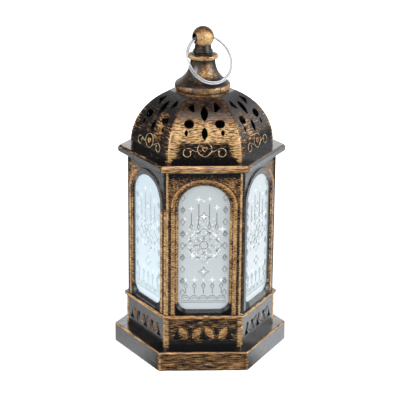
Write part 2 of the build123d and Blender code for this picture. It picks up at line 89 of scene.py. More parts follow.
# Floor, lamps and room: a white sweep that is bright behind the lantern and at its sides, and a dark room
# on the camera's side. Soft boxes stand to the left and the right, with weaker ones in front and above.
floor_half = 3.0
floor_colour = (0.86, 0.87, 0.88, 1)
floor_roughness = 0.9
floor_glow_reach = (0.09, 0.30)
floor_glow = (0.42, 1.0)
floor_front_edge = (-0.034, -0.012)
floor_left_edge = (-0.06, 0.03)
floor_left_share = 0.50
sweep_edge = (0.26, 0.40)
wall_behind_edge = (0.62, 0.9)
wall_right_edge = (0.45, 0.8)
wall_right_share = 0.8
wall_top_edge = (0.45, 0.8)
dim_share = 0.045
room_colour = (0.93, 0.96, 1.0, 1)
room_light = 0.36
mirrored_colour = (0.90, 0.96, 1.0, 1)
white = (1, 1, 1, 1)
soft_boxes = {
    "soft_box_left": ((-0.98, -0.50, 0.60), 0.5, 10.5),
    "soft_box_right": ((1.0, -0.45, 0.50), 0.5, 10.8),
    "soft_box_front": ((-0.55, -1.05, 0.38), 0.4, 1.4),
    "soft_box_top": ((-0.06, -0.53, 1.00), 0.55, 2.1),
}


def fill(node, inputs):
    """Gives inputs of a node a socket to link or a plain value."""
    for key, value in inputs.items():
        if isinstance(value, bpy.types.NodeSocket):
            node.id_data.links.new(value, node.inputs[key])
        else:
            node.inputs[key].default_value = value


def add(tree, kind, inputs=None, **settings):
    """A new node of a kind, with its settings and inputs."""
    made = tree.nodes.new(kind)
    for name, value in settings.items():
        setattr(made, name, value)
    fill(made, inputs or {})
    return made


def tree_of(*values):
    """The node tree that the first socket among some values is in."""
    return next(value.id_data for value in values if isinstance(value, bpy.types.NodeSocket))


def calc(operation, *values):
    """The result of a math node."""
    sockets = dict(enumerate(values))
    return add(tree_of(*values), "ShaderNodeMath", sockets, operation=operation).outputs[0]


def soft(value, start, end, low=0.0, high=1.0):
    """Goes smoothly from low to high while a value goes from start to end."""
    sockets = {0: value, 1: start, 2: end, 3: low, 4: high}
    return add(tree_of(value), "ShaderNodeMapRange", sockets, interpolation_type="SMOOTHSTEP").outputs[0]


def largest(*values):
    """The largest of several values."""
    result = values[0]
    for value in values[1:]:
        result = calc("MAXIMUM", result, value)
    return result


def product(*values):
    """Several values multiplied."""
    result = values[0]
    for value in values[1:]:
        result = calc("MULTIPLY", result, value)
    return result


def parts(place):
    """The three parts of a vector."""
    return add(tree_of(place), "ShaderNodeSeparateXYZ", {0: place}).outputs


def measure(operation, *places):
    """A length, a distance or a dot product of vectors."""
    sockets = dict(enumerate(places))
    return add(tree_of(*places), "ShaderNodeVectorMath", sockets, operation=operation).outputs["Value"]


def make_floor():
    """A large flat sheet that keeps the lantern's shadow; gloss sees it bright except in front."""
    mesh = bpy.data.meshes.new("floor")
    corners = [(-1, -1), (1, -1), (1, 1), (-1, 1)]
    mesh.from_pydata([(x * floor_half, y * floor_half, 0) for x, y in corners], [], [(0, 1, 2, 3)])
    floor = bpy.data.objects.new("floor", mesh)
    scene.collection.objects.link(floor)
    material = bpy.data.materials.new("floor_paper")
    material.use_nodes = True
    tree = material.node_tree
    path = add(tree, "ShaderNodeLightPath").outputs
    position = add(tree, "ShaderNodeTexCoord").outputs["Object"]
    distance = measure("LENGTH", position)
    paper = tree.nodes["Principled BSDF"]
    fill(paper, {
        "Base Color": floor_colour,
        "Roughness": floor_roughness,
        "Specular IOR Level": 0.0,
        "Emission Color": white,
        "Emission Strength": product(soft(distance, *floor_glow_reach, *floor_glow), path["Is Camera Ray"]),
    })
    beside, behind, _ = parts(position)
    sheen = product(
        soft(behind, *floor_front_edge, dim_share, 1.0),
        soft(beside, *floor_left_edge, floor_left_share, 1.0),
        soft(distance, *sweep_edge, 1.0, dim_share),
    )
    mirrored = add(tree, "ShaderNodeEmission", {"Color": mirrored_colour, "Strength": sheen})
    seen = largest(path["Is Glossy Ray"], path["Is Transmission Ray"])
    mixed = add(tree, "ShaderNodeMixShader", {0: seen, 1: paper.outputs[0], 2: mirrored.outputs[0]})
    fill(tree.nodes["Material Output"], {"Surface": mixed.outputs[0]})
    mesh.materials.append(material)


def make_room():
    """The light from all round: white where it is seen, and in gloss white low behind and dim elsewhere."""
    world = bpy.data.worlds.new("room")
    scene.world = world
    world.use_nodes = True
    tree = world.node_tree
    tree.nodes.clear()
    path = add(tree, "ShaderNodeLightPath").outputs
    rays = [path[name] for name in ("Is Camera Ray", "Is Glossy Ray", "Is Transmission Ray")]
    beside, behind, above = parts(add(tree, "ShaderNodeTexCoord").outputs["Generated"])
    walls_seen = largest(
        soft(behind, *wall_behind_edge, dim_share, 1.0),
        soft(beside, *wall_right_edge, 0.0, wall_right_share),
    )
    mirrored = product(walls_seen, soft(above, *wall_top_edge, 1.0, dim_share))
    strength = largest(mirrored, path["Is Camera Ray"])
    seen = add(tree, "ShaderNodeBackground", {"Color": white, "Strength": strength})
    ambient = add(tree, "ShaderNodeBackground", {"Color": room_colour, "Strength": room_light})
    sockets = {0: largest(*rays), 1: ambient.outputs[0], 2: seen.outputs[0]}
    mixed = add(tree, "ShaderNodeMixShader", sockets)
    add(tree, "ShaderNodeOutputWorld", {"Surface": mixed.outputs[0]})


make_floor()
make_room()
aim = Vector((0, 0, (cad_low.z + cad_high.z) / 2))
for name, (place, side, power) in soft_boxes.items():
    lamp = bpy.data.lights.new(name, "AREA")
    lamp.size = side
    lamp.energy = power
    box = bpy.data.objects.new(name, lamp)
    box.rotation_euler = (aim - Vector(place)).to_track_quat("-Z", "Y").to_euler()
    box.location = place
    scene.collection.objects.link(box)


# Foot: a hollow moulded hexagonal block. It is sprayed with black gloss lacquer, and gold-bronze paint is
# then dragged over its edges and sides with an almost dry brush, as on all the upper pieces. The paint's
# sizes are in millimetres, and values for the six sides go round from the front to the right. On the two
# sides beside the front the tables give less gold and paler tones. This is partly paint and partly painted
# light, standing in for the pale reflection on those sides.
mm = 0.001
per_mm = 1000.0
side_count = 6
side_turn = tau / side_count
side_shift = 71.3
black_lacquer = (0.003, 0.0028, 0.0036, 1)
gold_tones = [
    (0.0, (0.052, 0.025, 0.015, 1)),
    (0.45, (0.36, 0.18, 0.062, 1)),
    (1.0, (0.78, 0.53, 0.26, 1)),
]
warm_tint = (1.0, 0.74, 0.50, 1)
black_roughness = 0.22
gold_roughness = 0.46
gold_metal = 0.35
gold_coat = 0.15
thin_coat = 0.72
coat_roughness = 0.12
satin_roughness = 0.14
lacquer_ior = 1.45
lacquer_specular = 0.3
brush_relief = 0.07 * mm
pit_drop = 4.0
high_gloss = 4.0
# How much clear coat the painted shade takes off the flat tops toward the front.
top_shade = 0.9
# Less gold and paler lips beside the front: part paint, part painted reflection.
foot_cover_and_sheen = (0.61, 0.34, 0.58, 0.61, 0.58, 0.34)
foot_warmth_and_sheen = (0.45, 0.1, 0.4, 0.4, 0.4, 0.2)


def vector(operation, *places):
    """The vector that a vector math node gives."""
    sockets = dict(enumerate(places))
    return add(tree_of(*places), "ShaderNodeVectorMath", sockets, operation=operation).outputs[0]


def scaled(place, factor):
    """A place in other units."""
    sockets = {0: place, "Scale": factor}
    return add(tree_of(place), "ShaderNodeVectorMath", sockets, operation="SCALE").outputs[0]


def xyz(*values):
    """A vector of up to three values."""
    return add(tree_of(*values), "ShaderNodeCombineXYZ", dict(enumerate(values))).outputs[0]


def blend(share, first, second):
    """A value between two others."""
    return add(tree_of(share), "ShaderNodeMix", {0: share, 2: first, 3: second}).outputs[0]


def colour_blend(share, first, second, way="MIX"):
    """A colour between two others."""
    sockets = {0: share, 6: first, 7: second}
    tree = tree_of(share, first, second)
    return add(tree, "ShaderNodeMix", sockets, data_type="RGBA", blend_type=way).outputs[2]


def relief(strength, distance, height):
    """The normal of a surface with a fine relief."""
    sockets = {"Strength": strength, "Distance": distance, "Height": height}
    return add(tree_of(height), "ShaderNodeBump", sockets).outputs[0]


def new_group(name, inputs, outputs, kind="ShaderNodeTree"):
    """An empty node group with named sockets."""
    tree = bpy.data.node_groups.new(name, kind)
    for direction, sockets in (("INPUT", inputs), ("OUTPUT", outputs)):
        for label, socket in sockets.items():
            tree.interface.new_socket(label, in_out=direction, socket_type="NodeSocket" + socket)
    return tree, tree.nodes.new("NodeGroupInput").outputs, tree.nodes.new("NodeGroupOutput")


def make_side_fold():
    """Folds the six sides on to the front one: millimetres across it, out from the axis and up."""
    tree, given, result = new_group(
        "side_fold",
        {"Position": "Vector"},
        {"Across": "Float", "Out": "Float", "Level": "Float", "Side": "Float", "Place": "Vector"},
    )
    x, y, z = parts(scaled(given["Position"], per_mm))
    turn = calc("ARCTAN2", x, product(y, -1.0))
    side = calc("ROUND", calc("DIVIDE", turn, side_turn))
    rest = calc("SUBTRACT", turn, product(side, side_turn))
    radius = measure("LENGTH", xyz(x, y))
    across = product(radius, calc("SINE", rest))
    side = calc("FLOORED_MODULO", side, float(side_count))
    fill(result, {
        "Across": across,
        "Out": product(radius, calc("COSINE", rest)),
        "Level": z,
        "Side": side,
        "Place": xyz(across, product(side, side_shift), z),
    })
    return tree


def make_dry_brush():
    """Gold left by a dry brush: level streaks of a length, or stipple, over a share of the surface."""
    tree, given, result = new_group(
        "dry_brush",
        {"Place": "Vector", "Cover": "Float", "Stipple": "Float", "Length": "Float", "Contrast": "Float"},
        {"Gold": "Float", "Tone": "Float", "Relief": "Float", "Film": "Float"},
    )

    def cloud(stretch, detail, distortion, weight):
        """A noise about nought, stretched along the surface."""
        place = vector("MULTIPLY", given["Place"], stretch)
        sockets = {"Vector": place, "Scale": 1.0, "Detail": detail, "Distortion": distortion}
        sockets["Roughness"] = 0.6
        made = add(tree, "ShaderNodeTexNoise", sockets).outputs[0]
        return product(calc("SUBTRACT", made, 0.5), weight)

    short = calc("DIVIDE", 1.0, given["Length"])
    streaks = cloud(xyz(short, short, 3.3), 1.0, product(short, 0.75), 1.7)
    dabs = cloud((0.9, 0.9, 1.8), 2.0, 0.3, 1.5)
    patches = cloud((0.14, 0.14, 0.20), 2.0, 0.0, 0.7)
    grain = cloud((2.0, 2.0, 2.6), 1.0, 0.0, 0.7)
    marks = product(blend(given["Stipple"], streaks, dabs), given["Contrast"])
    paint = calc("ADD", calc("ADD", marks, grain), patches)
    bare = add(tree, "ShaderNodeMapRange", {0: given["Cover"], 3: 0.85, 4: -0.45}).outputs[0]
    above = calc("SUBTRACT", paint, bare)
    tone = soft(above, -0.30, 0.72)
    fill(result, {
        "Gold": soft(above, -0.35, 0.05),
        "Tone": tone,
        "Relief": calc("ADD", tone, product(grain, 0.5)),
        "Film": calc("ADD", streaks, patches),
    })
    return tree


side_fold = make_side_fold()
dry_brush = make_dry_brush()


class Surface:
    """Where a shaded point is on the lantern: its folded place and which way its face looks."""

    def __init__(self, tree):
        where = add(tree, "ShaderNodeTexCoord").outputs
        fold = add(tree, "ShaderNodeGroup", {0: where["Object"]}, node_tree=side_fold).outputs
        self.position = where["Object"]
        self.signed = fold["Across"]
        self.across = calc("ABSOLUTE", self.signed)
        self.out = fold["Out"]
        self.level = fold["Level"]
        self.side = fold["Side"]
        self.place = fold["Place"]
        self.up = parts(where["Normal"])["Z"]
        away = vector("NORMALIZE", vector("MULTIPLY", self.position, (1, 1, 0)))
        self.outward = measure("DOT_PRODUCT", where["Normal"], away)

    def on_side(self, number):
        """One on one of the six sides, and nought on the others."""
        return calc("COMPARE", self.side, float(number), 0.5)

    def share(self, shares):
        """A value that each of the six sides has of its own."""
        result = 0.0
        for number, share in enumerate(shares):
            result = calc("ADD", result, product(self.on_side(number), share))
        return result

    def frontward(self):
        """Millimetres toward the front on the two sides beside it, and nought on the other four."""
        return product(self.signed, calc("SUBTRACT", self.on_side(5), self.on_side(1)))


def new_finish(name):
    """A new material, its shader and the surface that it is on."""
    material = bpy.data.materials.new(name)
    material.use_nodes = True
    tree = material.node_tree
    return material, tree.nodes["Principled BSDF"], Surface(tree)


def lacquer(name, painted, stipple=0.0, length=3.0, contrast=1.0, fine=0.0, satin=0.0, gloss=2.0,
            pits_and_shade=None, shaded_top=0.0):
    """Black lacquer with dry-brushed gold; painted gives the gold's cover, its shine and its warmth."""
    material, shader, surface = new_finish(name)
    tree = material.node_tree
    place = scaled(surface.position, fine * per_mm) if fine else surface.place
    cover, shine, warmth = painted(surface)
    # Pits and painted shade: where this is high the gold and the clear coat are taken off, so it shows
    # dark.
    pit_and_shade = pits_and_shade(surface) if pits_and_shade else 0.0
    clear_of_pits_and_shade = calc("SUBTRACT", 1.0, pit_and_shade) if pits_and_shade else 1.0
    cover = product(cover, soft(surface.outward, 0.1, 0.3), clear_of_pits_and_shade)
    sockets = {0: place, 1: cover, 2: stipple, 3: length, 4: contrast}
    brush = add(tree, "ShaderNodeGroup", sockets, node_tree=dry_brush).outputs
    gold = brush["Gold"]
    ramp = add(tree, "ShaderNodeValToRGB", {0: product(brush["Tone"], shine)})
    ramp.color_ramp.elements.new(0.5)
    for stop, (position, colour) in zip(ramp.color_ramp.elements, gold_tones):
        stop.position = position
        stop.color = colour
    warm = colour_blend(warmth, ramp.outputs[0], warm_tint, "MULTIPLY")
    film = soft(brush["Film"], -0.35, 0.35, thin_coat, 1.0)
    coat = product(film, soft(gold, 0.0, 1.0, 1.0, gold_coat), clear_of_pits_and_shade)
    # Painted shade: flat tops toward the front lose most of their clear coat, so they show dark there.
    if shaded_top:
        near = largest(soft(surface.frontward(), 6.0, 14.0), surface.on_side(0))
        level_top = product(soft(surface.up, 0.8, 0.95), near)
        coat = product(coat, soft(level_top, 0.0, 1.0, 1.0, 1.0 - shaded_top))
    fill(shader, {
        "Base Color": colour_blend(gold, black_lacquer, warm),
        "Roughness": soft(gold, 0.0, 1.0, black_roughness + satin_roughness * satin, gold_roughness),
        "Metallic": product(gold, gold_metal),
        "IOR": lacquer_ior,
        "Specular IOR Level": lacquer_specular,
        "Coat Weight": coat,
        "Coat Roughness": coat_roughness + satin_roughness * satin,
        "Coat IOR": gloss - 0.2 * satin,
        "Normal": relief(0.4, brush_relief, calc("MULTIPLY_ADD", pit_and_shade, -pit_drop, brush["Relief"])),
    })
    return material


def dress(names, material):
    """Gives CAD nodes a material."""
    for name in names:
        nodes[name].data.materials.clear()
        nodes[name].data.materials.append(material)


def foot_paint(surface):
    """Gold on the foot: its lip, its corners and a share of each side, with the flat top black."""
    lip = product(soft(surface.level, 7.2, 7.8), soft(surface.out, 31.2, 31.6))
    corner = product(soft(surface.across, 17.0, 18.0), 0.74)
    flat = soft(surface.up, 0.6, 0.95, 1.0, 0.0)
    cover = largest(product(lip, 0.88), corner, surface.share(foot_cover_and_sheen))
    cover = product(cover, largest(flat, product(lip, 0.8)))
    return cover, 1.0, product(lip, surface.share(foot_warmth_and_sheen))


dress(["foot"], lacquer(
    "foot_lacquer", foot_paint, length=5.5, contrast=1.2, satin=0.5, gloss=high_gloss,
    shaded_top=top_shade,
))


# Plinth: a hexagonal box with a thin ledge, screwed to the foot from below. A frieze of slanting leaves
# stands between its sunk darts, four on each side, moulded with it and picked out by the same brush.
plinth_apothem = 27.6 * mm
# Less gold and a paler ledge beside the front: part paint, part painted reflection.
plinth_cover_and_sheen = (0.52, 0.34, 0.50, 0.52, 0.50, 0.34)
ledge_warmth_and_sheen = (0.5, 0.1, 0.4, 0.4, 0.4, 0.2)
leaf_length = 6.4 * mm
leaf_width = 3.2 * mm
leaf_ridge = 0.55 * mm
leaf_root = 0.25 * mm
leaf_slant = radians(33)
leaf_pitch = 5.5 * mm
leaf_level = 15.2 * mm
leaf_count = 4
leaf_rows = 9
# Less gold on the leaves beside the front, least on the right: part paint, part painted reflection.
leaf_cover_and_sheen = (0.82, 0.40, 0.76, 0.82, 0.76, 0.60)
leaf_gloss = 3.6


def plinth_paint(surface):
    """Gold on the plinth: the ledge's edge, the corners and the field round the leaves."""
    ledge = soft(surface.level, 21.5, 21.8)
    corner = product(soft(surface.across, 13.0, 15.0), 0.84, soft(surface.level, 8.2, 10.6, 0.8, 1.0))
    field = product(soft(surface.level, 9.4, 13.0), soft(surface.out, 26.95, 27.5))
    field = product(surface.share(plinth_cover_and_sheen), field)
    ledge_edge = product(ledge, soft(surface.out, 27.7, 28.0, 0.0, 0.85))
    flat = largest(soft(surface.up, 0.55, 0.9, 1.0, 0.0), ledge_edge)
    cover = product(largest(field, corner, product(ledge, 0.88)), flat)
    return cover, 1.0, product(ledge, surface.share(ledge_warmth_and_sheen))


def leaf_paint(surface):
    """Gold on the leaves, most of it on their ridges."""
    raised = soft(surface.out, 27.5, 27.75, 0.6, 1.0)
    return product(raised, surface.share(leaf_cover_and_sheen)), 1.0, 0.2


def new_geometry_tree(name, **sizes):
    """An empty geometry tree with named inputs for its sizes and its material."""
    ends = {"Geometry": "Geometry"}
    return new_group(name, {**ends, **sizes, "Material": "Material"}, ends, "GeometryNodeTree")


def on_points(points, geometry, turn):
    """A turned copy of a geometry on each point."""
    sockets = {"Points": points, "Instance": geometry, "Rotation": turn}
    return add(tree_of(points), "GeometryNodeInstanceOnPoints", sockets).outputs[0]


def copies_round_axis(geometry, count):
    """Copies of a geometry, turned evenly about the lantern's axis."""
    tree = tree_of(geometry)
    points = add(tree, "GeometryNodeMeshLine", {"Count": count, "Offset": (0, 0, 0)}).outputs[0]
    turn = product(add(tree, "GeometryNodeInputIndex").outputs[0], calc("DIVIDE", tau, count))
    return on_points(points, geometry, xyz(0.0, 0.0, turn))


def finish_tree(result, geometry, material):
    """Ends a tree: real geometry with its material."""
    tree = tree_of(geometry)
    real = add(tree, "GeometryNodeRealizeInstances", {0: geometry})
    painted = add(tree, "GeometryNodeSetMaterial", {"Geometry": real.outputs[0], "Material": material})
    fill(result, {0: painted.outputs[0]})


def grow(name, mesh, tree, values):
    """Runs a geometry tree on a mesh and keeps the result as a plain piece."""
    seed = bpy.data.objects.new(name + "_seed", mesh)
    scene.collection.objects.link(seed)
    modifier = seed.modifiers.new(tree.name, "NODES")
    modifier.node_group = tree
    for item in tree.interface.items_tree:
        if item.in_out == "INPUT" and item.name in values:
            modifier[item.identifier] = values[item.name]
    bpy.context.view_layer.update()
    grown = seed.evaluated_get(bpy.context.evaluated_depsgraph_get())
    plain = bpy.data.meshes.new_from_object(grown)
    bpy.data.objects.remove(seed)
    piece = bpy.data.objects.new(name, plain)
    scene.collection.objects.link(piece)
    return piece


def make_leaf():
    """One leaf, upright on the front plane: a pointed outline with a ridge down its middle."""
    points, faces = [], []
    for row in range(leaf_rows):
        along = row / (leaf_rows - 1)
        half = leaf_width / 2 * sin(pi * along) * (0.8 + 0.4 * along)
        z = (along - 0.5) * leaf_length
        crest = -leaf_ridge * (0.35 + 0.65 * sin(pi * along) ** 0.5)
        points += [(-half, leaf_root, z), (-half * 0.92, 0.4 * crest, z), (0, crest, z)]
        points += [(half * 0.92, 0.4 * crest, z), (half, leaf_root, z)]
    for row in range(leaf_rows - 1):
        for first in range(row * 5, row * 5 + 4):
            faces.append((first, first + 1, first + 6, first + 5))
    mesh = bpy.data.meshes.new("leaf")
    mesh.from_pydata(points, [], faces)
    shape = bmesh.new()
    shape.from_mesh(mesh)
    bmesh.ops.remove_doubles(shape, verts=shape.verts, dist=0.01 * mm)
    bmesh.ops.holes_fill(shape, edges=[e for e in shape.edges if e.is_boundary])
    bmesh.ops.recalc_face_normals(shape, faces=shape.faces)
    shape.to_mesh(mesh)
    shape.free()
    return mesh


def make_leaf_tree():
    """A row of leaves leaning in turn to each side, on all six sides."""
    tree, size, result = new_geometry_tree(
        "leaf_frieze",
        Count="Int", Pitch="Float", Slant="Float", Level="Float", Apothem="Float", Sides="Int",
    )
    start = product(calc("SUBTRACT", size["Count"], 1.0), size["Pitch"], -0.5)
    row = add(tree, "GeometryNodeMeshLine", {
        "Count": size["Count"],
        "Start Location": xyz(start, product(size["Apothem"], -1.0), size["Level"]),
        "Offset": xyz(size["Pitch"]),
    })
    number = add(tree, "GeometryNodeInputIndex").outputs[0]
    swing = calc("SUBTRACT", product(calc("MODULO", number, 2.0), 2.0), 1.0)
    leaves = on_points(row.outputs[0], size["Geometry"], xyz(0.0, product(swing, size["Slant"])))
    finish_tree(result, copies_round_axis(leaves, size["Sides"]), size["Material"])
    return tree


dress(["plinth"], lacquer(
    "plinth_lacquer", plinth_paint, length=3.5, contrast=1.4, satin=0.6, gloss=high_gloss,
    shaded_top=top_shade,
))
leaves = grow("plinth_leaves", make_leaf(), make_leaf_tree(), {
    "Count": leaf_count,
    "Pitch": leaf_pitch,
    "Slant": leaf_slant,
    "Level": leaf_level,
    "Apothem": plinth_apothem,
    "Sides": side_count,
    "Material": lacquer("leaf_lacquer", leaf_paint, gloss=leaf_gloss),
})
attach(leaves, "lantern")


# Window walls: six moulded panels with a bevelled arch round the window, tabbed into the plinth and the
# eave. The brush stippled their corner strips and arches and left the band below the window black. The
# band under the eave, the window's two lower corners and a line along the far jamb of each side wall are
# darkened as painted shade.
window_half = 10.5
window_low = 25.6
window_spring = 71.05
window_rise = 9.05
arch_radius = 9.8
dot_pitch = 0.8
wall_pits = [(13.2, 83.2), (13.2, 80.2), (10.2, 84.2)]
pit_radius = 0.55


def wall_pits_and_corner_shade(surface):
    """How deep a point lies in the upper corners' pits, with painted shade in the window's two lower
    corners.
    """
    deepest = 0.0
    spot = xyz(surface.across, 0.0, surface.level)
    for across, level in wall_pits:
        away = measure("DISTANCE", spot, (across, 0, level))
        deepest = largest(deepest, soft(away, pit_radius, 0.6 * pit_radius))
    # Painted shade: the window's two lower corners lose their gold and clear coat.
    beside = product(soft(surface.across, 7.0, 8.5), soft(surface.across, 12.0, 11.4))
    return largest(deepest, product(beside, soft(surface.level, 29.0, 27.5), 0.85))


def window_gap(surface):
    """Millimetres from the edge of the window out over the wall."""
    beside = calc("DIVIDE", surface.across, window_half)
    above = calc("DIVIDE", calc("SUBTRACT", surface.level, window_spring), window_rise)
    above = largest(above, 0.0)
    reach = calc("SQRT", calc("ADD", product(beside, beside), product(above, above)))
    gap = product(calc("SUBTRACT", reach, 1.0), arch_radius)
    return largest(gap, calc("SUBTRACT", window_low, surface.level))


def wall_paint(surface):
    """Gold on a wall: corner strips, the arch's bead and bevel, and the dotted field beside the window."""
    gap = window_gap(surface)
    strip = soft(surface.across, 14.45, 14.75)
    arch = soft(surface.level, 66.0, 72.0)
    crest = product(soft(gap, 1.0, 1.4), soft(gap, 3.0, 2.75), 0.85, soft(arch, 0.0, 1.0, 1.0, 0.84))
    bead = product(soft(gap, 1.9, 2.2), soft(gap, 3.0, 2.8), arch)
    bevel = product(soft(gap, 1.4, 0.9), soft(arch, 0.0, 1.0, 0.80, 0.60))
    ripple = calc("SINE", product(surface.level, tau / dot_pitch))
    dots = soft(ripple, -0.6, 0.6, 0.42, 0.72)
    field = product(soft(gap, 2.7, 3.1), blend(arch, dots, 0.66))
    low = largest(soft(surface.level, 24.0, 27.0), soft(surface.across, 9.6, 11.4))
    # Painted shade: the gold thins toward the eave, in the shade under it.
    under_eave_shade = soft(surface.level, 81.5, 85.4, 1.0, 0.35)
    drawn = product(largest(crest, bevel, product(bead, 0.94), field), low, under_eave_shade)
    near = surface.frontward()
    # Less gold on the right wall and the left arch toward the front: part paint, part painted reflection.
    right = surface.on_side(1)
    left_arch = product(surface.on_side(5), arch)
    bare = product(largest(right, left_arch), soft(near, -11.0, 1.0))
    far = product(soft(near, -9.0, -10.0), soft(surface.level, 28.5, 32.0))
    cover = product(
        largest(drawn, product(strip, 0.90)),
        soft(bare, 0.0, 1.0, 1.0, 0.45),
        soft(product(far, right), 0.0, 1.0, 1.0, 0.92),
        # Painted shade: a dark line by the pane along the far jamb of each side wall.
        soft(product(far, soft(gap, 0.6, 0.35)), 0.0, 1.0, 1.0, 0.3),
    )
    return cover, 1.0, product(bead, 0.7, calc("SUBTRACT", 1.0, bare))


dress([name for name in nodes if name.startswith("wall_panel_")], lacquer(
    "wall_lacquer", wall_paint, stipple=0.5, length=1.5, contrast=1.6, satin=1.0, gloss=high_gloss,
    pits_and_shade=wall_pits_and_corner_shade,
))


# Panes: thin sheets of frosted milky plastic behind the arches. The panes beside the front one are painted
# paler and bluer as a painted reflection of the bright sweep, and their print is painted paler with them.
# Each carries a printed pattern of its own, an eight-point star and strings of lozenges in silver-grey ink,
# with glints in white foil.
pane_apothem = 26.2 * mm
pane_colours = ((0.523, 0.56, 0.56, 1), (0.565, 0.622, 0.642, 1))
# Painted reflection: paler, bluer colours for the panes beside the front one, and how much each side takes.
pane_sheen_colours = ((0.58, 0.69, 0.76, 1), (0.69, 0.82, 0.88, 1))
pane_sheen_shares = (0.0, 0.3, 0.5, 0.0, 0.5, 1.0)
pane_gloss = {"Coat Weight": 0.85, "Coat Roughness": 0.2, "Coat IOR": 2.6}
ink_colour = (0.19, 0.20, 0.21, 1)
ink_sheen_share = 0.5
foil_colour = (0.95, 0.96, 0.97, 1)
thin_film = 0.35
ink_radius = 0.14 * mm
star_level = 54.0 * mm
star_radius = 7.6 * mm
string_across = 8.7 * mm
string_low = 33.0 * mm
string_pitch = 5.2 * mm
lozenge_count = 9
scallop_steps = (-2, -1, 0, 1, 2)
scallop_pitch = 3.7 * mm
scallop_level = 30.0 * mm
border_half = 9.4 * mm
border_levels = (29.3 * mm, 28.6 * mm)
glint_size = 1.3 * mm
pearl_size = 0.34 * mm
pearl_count = 90
golden_turn = 2.39996
foil_back = 0.05 * mm
foil_front = 0.05 * mm
foil_peak = 0.16 * mm


def noise(place, scale, detail):
    """A noise of a fineness."""
    sockets = {"Vector": place, "Scale": scale, "Detail": detail}
    return add(tree_of(place), "ShaderNodeTexNoise", sockets).outputs[0]


def frosted(name):
    """Milky plastic, a little brighter low down, with a fine uneven frost, and painted reflection on the
    sides.
    """
    material, shader, surface = new_finish(name)
    frost = noise(surface.position, 900.0, 3.0)
    clouds = noise(surface.position, 70.0, 2.0)
    share = calc("ADD", soft(surface.level, 74.0, 26.0), product(calc("SUBTRACT", clouds, 0.5), 0.5))
    front = colour_blend(share, *pane_colours)
    beside = colour_blend(share, *pane_sheen_colours)
    fill(shader, {
        "Base Color": colour_blend(surface.share(pane_sheen_shares), front, beside),
        "Roughness": soft(frost, 0.2, 0.8, 0.28, 0.45),
        "Normal": relief(0.12, 0.03 * mm, frost),
        **pane_gloss,
    })
    return material


def ink(name, colour, metallic, roughness, sheen_share):
    """Printed ink or foil with a slightly uneven film, and painted reflection paling it beside the front.
    """
    material, shader, surface = new_finish(name)
    film = noise(surface.position, 1400.0, 2.0)
    thin = tuple(thin_film * pane + (1 - thin_film) * deep for pane, deep in zip(pane_colours[0], colour))
    front = colour_blend(soft(film, 0.3, 0.6), thin, colour)
    beside = product(surface.share(pane_sheen_shares), sheen_share)
    fill(shader, {
        "Base Color": colour_blend(beside, front, pane_sheen_colours[1]),
        "Roughness": soft(film, 0.2, 0.8, roughness, roughness + 0.15),
        "Metallic": metallic,
        **pane_gloss,
    })
    return material


def round_points(middle, radius, count, start=0.0, end=tau):
    """Points of a circle or an arc on the front plane."""
    steps = [start + (end - start) * k / count for k in range(count + 1)]
    return [(middle[0] + radius * sin(t), middle[1] + radius * cos(t)) for t in steps]


def star_points(middle, radius, inner_share, points, turn=0.0):
    """A star's outline on the front plane, back to its first point."""
    result = []
    for k in range(2 * points):
        reach = radius * (inner_share if k % 2 else 1.0)
        t = turn + k * pi / points
        result.append((middle[0] + reach * sin(t), middle[1] + reach * cos(t)))
    return result + result[:1]


def line_mesh(name, lines, put):
    """Lines as the edges of a mesh, put on a surface."""
    points, edges = [], []
    for line in lines:
        first = len(points)
        points += [put(*point) for point in line]
        edges += [(k, k + 1) for k in range(first, len(points) - 1)]
    mesh = bpy.data.meshes.new(name)
    mesh.from_pydata(points, edges, [])
    return mesh


def make_line_tree():
    """Round lines along a mesh's edges, copied round the lantern."""
    tree, size, result = new_geometry_tree("raised_lines", Radius="Float", Facets="Int", Copies="Int")
    curve = add(tree, "GeometryNodeMeshToCurve", {0: size["Geometry"]})
    sockets = {"Resolution": size["Facets"], "Radius": size["Radius"]}
    profile = add(tree, "GeometryNodeCurvePrimitiveCircle", sockets)
    sockets = {"Curve": curve.outputs[0], "Profile Curve": profile.outputs[0], "Fill Caps": True}
    lines = add(tree, "GeometryNodeCurveToMesh", sockets)
    smooth = add(tree, "GeometryNodeSetShadeSmooth", {0: lines.outputs[0]})
    finish_tree(result, copies_round_axis(smooth.outputs[0], size["Copies"]), size["Material"])
    return tree


def print_lines():
    """The print's line work: star, lozenge strings, scalloped border and drops, in metres across and up."""
    star = (0, star_level)
    lines = [
        star_points(star, star_radius, 0.76, 8),
        star_points(star, star_radius * 0.86, 0.54, 8, pi / 8),
        star_points(star, star_radius * 0.46, 0.5, 8),
        round_points(star, star_radius * 0.22, 12),
    ]
    for row in range(lozenge_count):
        for side in (-1, 1):
            middle = (side * string_across, string_low + string_pitch * row)
            lines.append(star_points(middle, 1.5 * mm, 0.62, 2))
            if row % 2:
                lines.append(star_points(middle, 0.8 * mm, 0.6, 2))
    for step in scallop_steps:
        across = step * scallop_pitch
        for radius, count in ((1.75 * mm, 10), (0.95 * mm, 8)):
            lines.append(round_points((across, scallop_level), radius, count, -pi / 2, pi / 2))
        lines.append([(across, 32.6 * mm), (across, 34.4 * mm)])
        lines.append(star_points((across, 36.0 * mm), 1.35 * mm, 0.55, 2))
    for level in border_levels:
        lines.append([(-border_half, level), (border_half, level)])
    for side in (-1, 1):
        for reach, top in ((2.2 * mm, 72.0 * mm), (5.2 * mm, 68.0 * mm)):
            lines.append([(side * reach, 63.5 * mm), (side * reach, top)])
            lines.append(star_points((side * reach, 62.2 * mm), 1.3 * mm, 0.5, 2))
    lines.append(star_points((0, 66.5 * mm), 2.0 * mm, 0.45, 4))
    lines.append(star_points((0, 42.3 * mm), 2.2 * mm, 0.5, 4))
    return lines


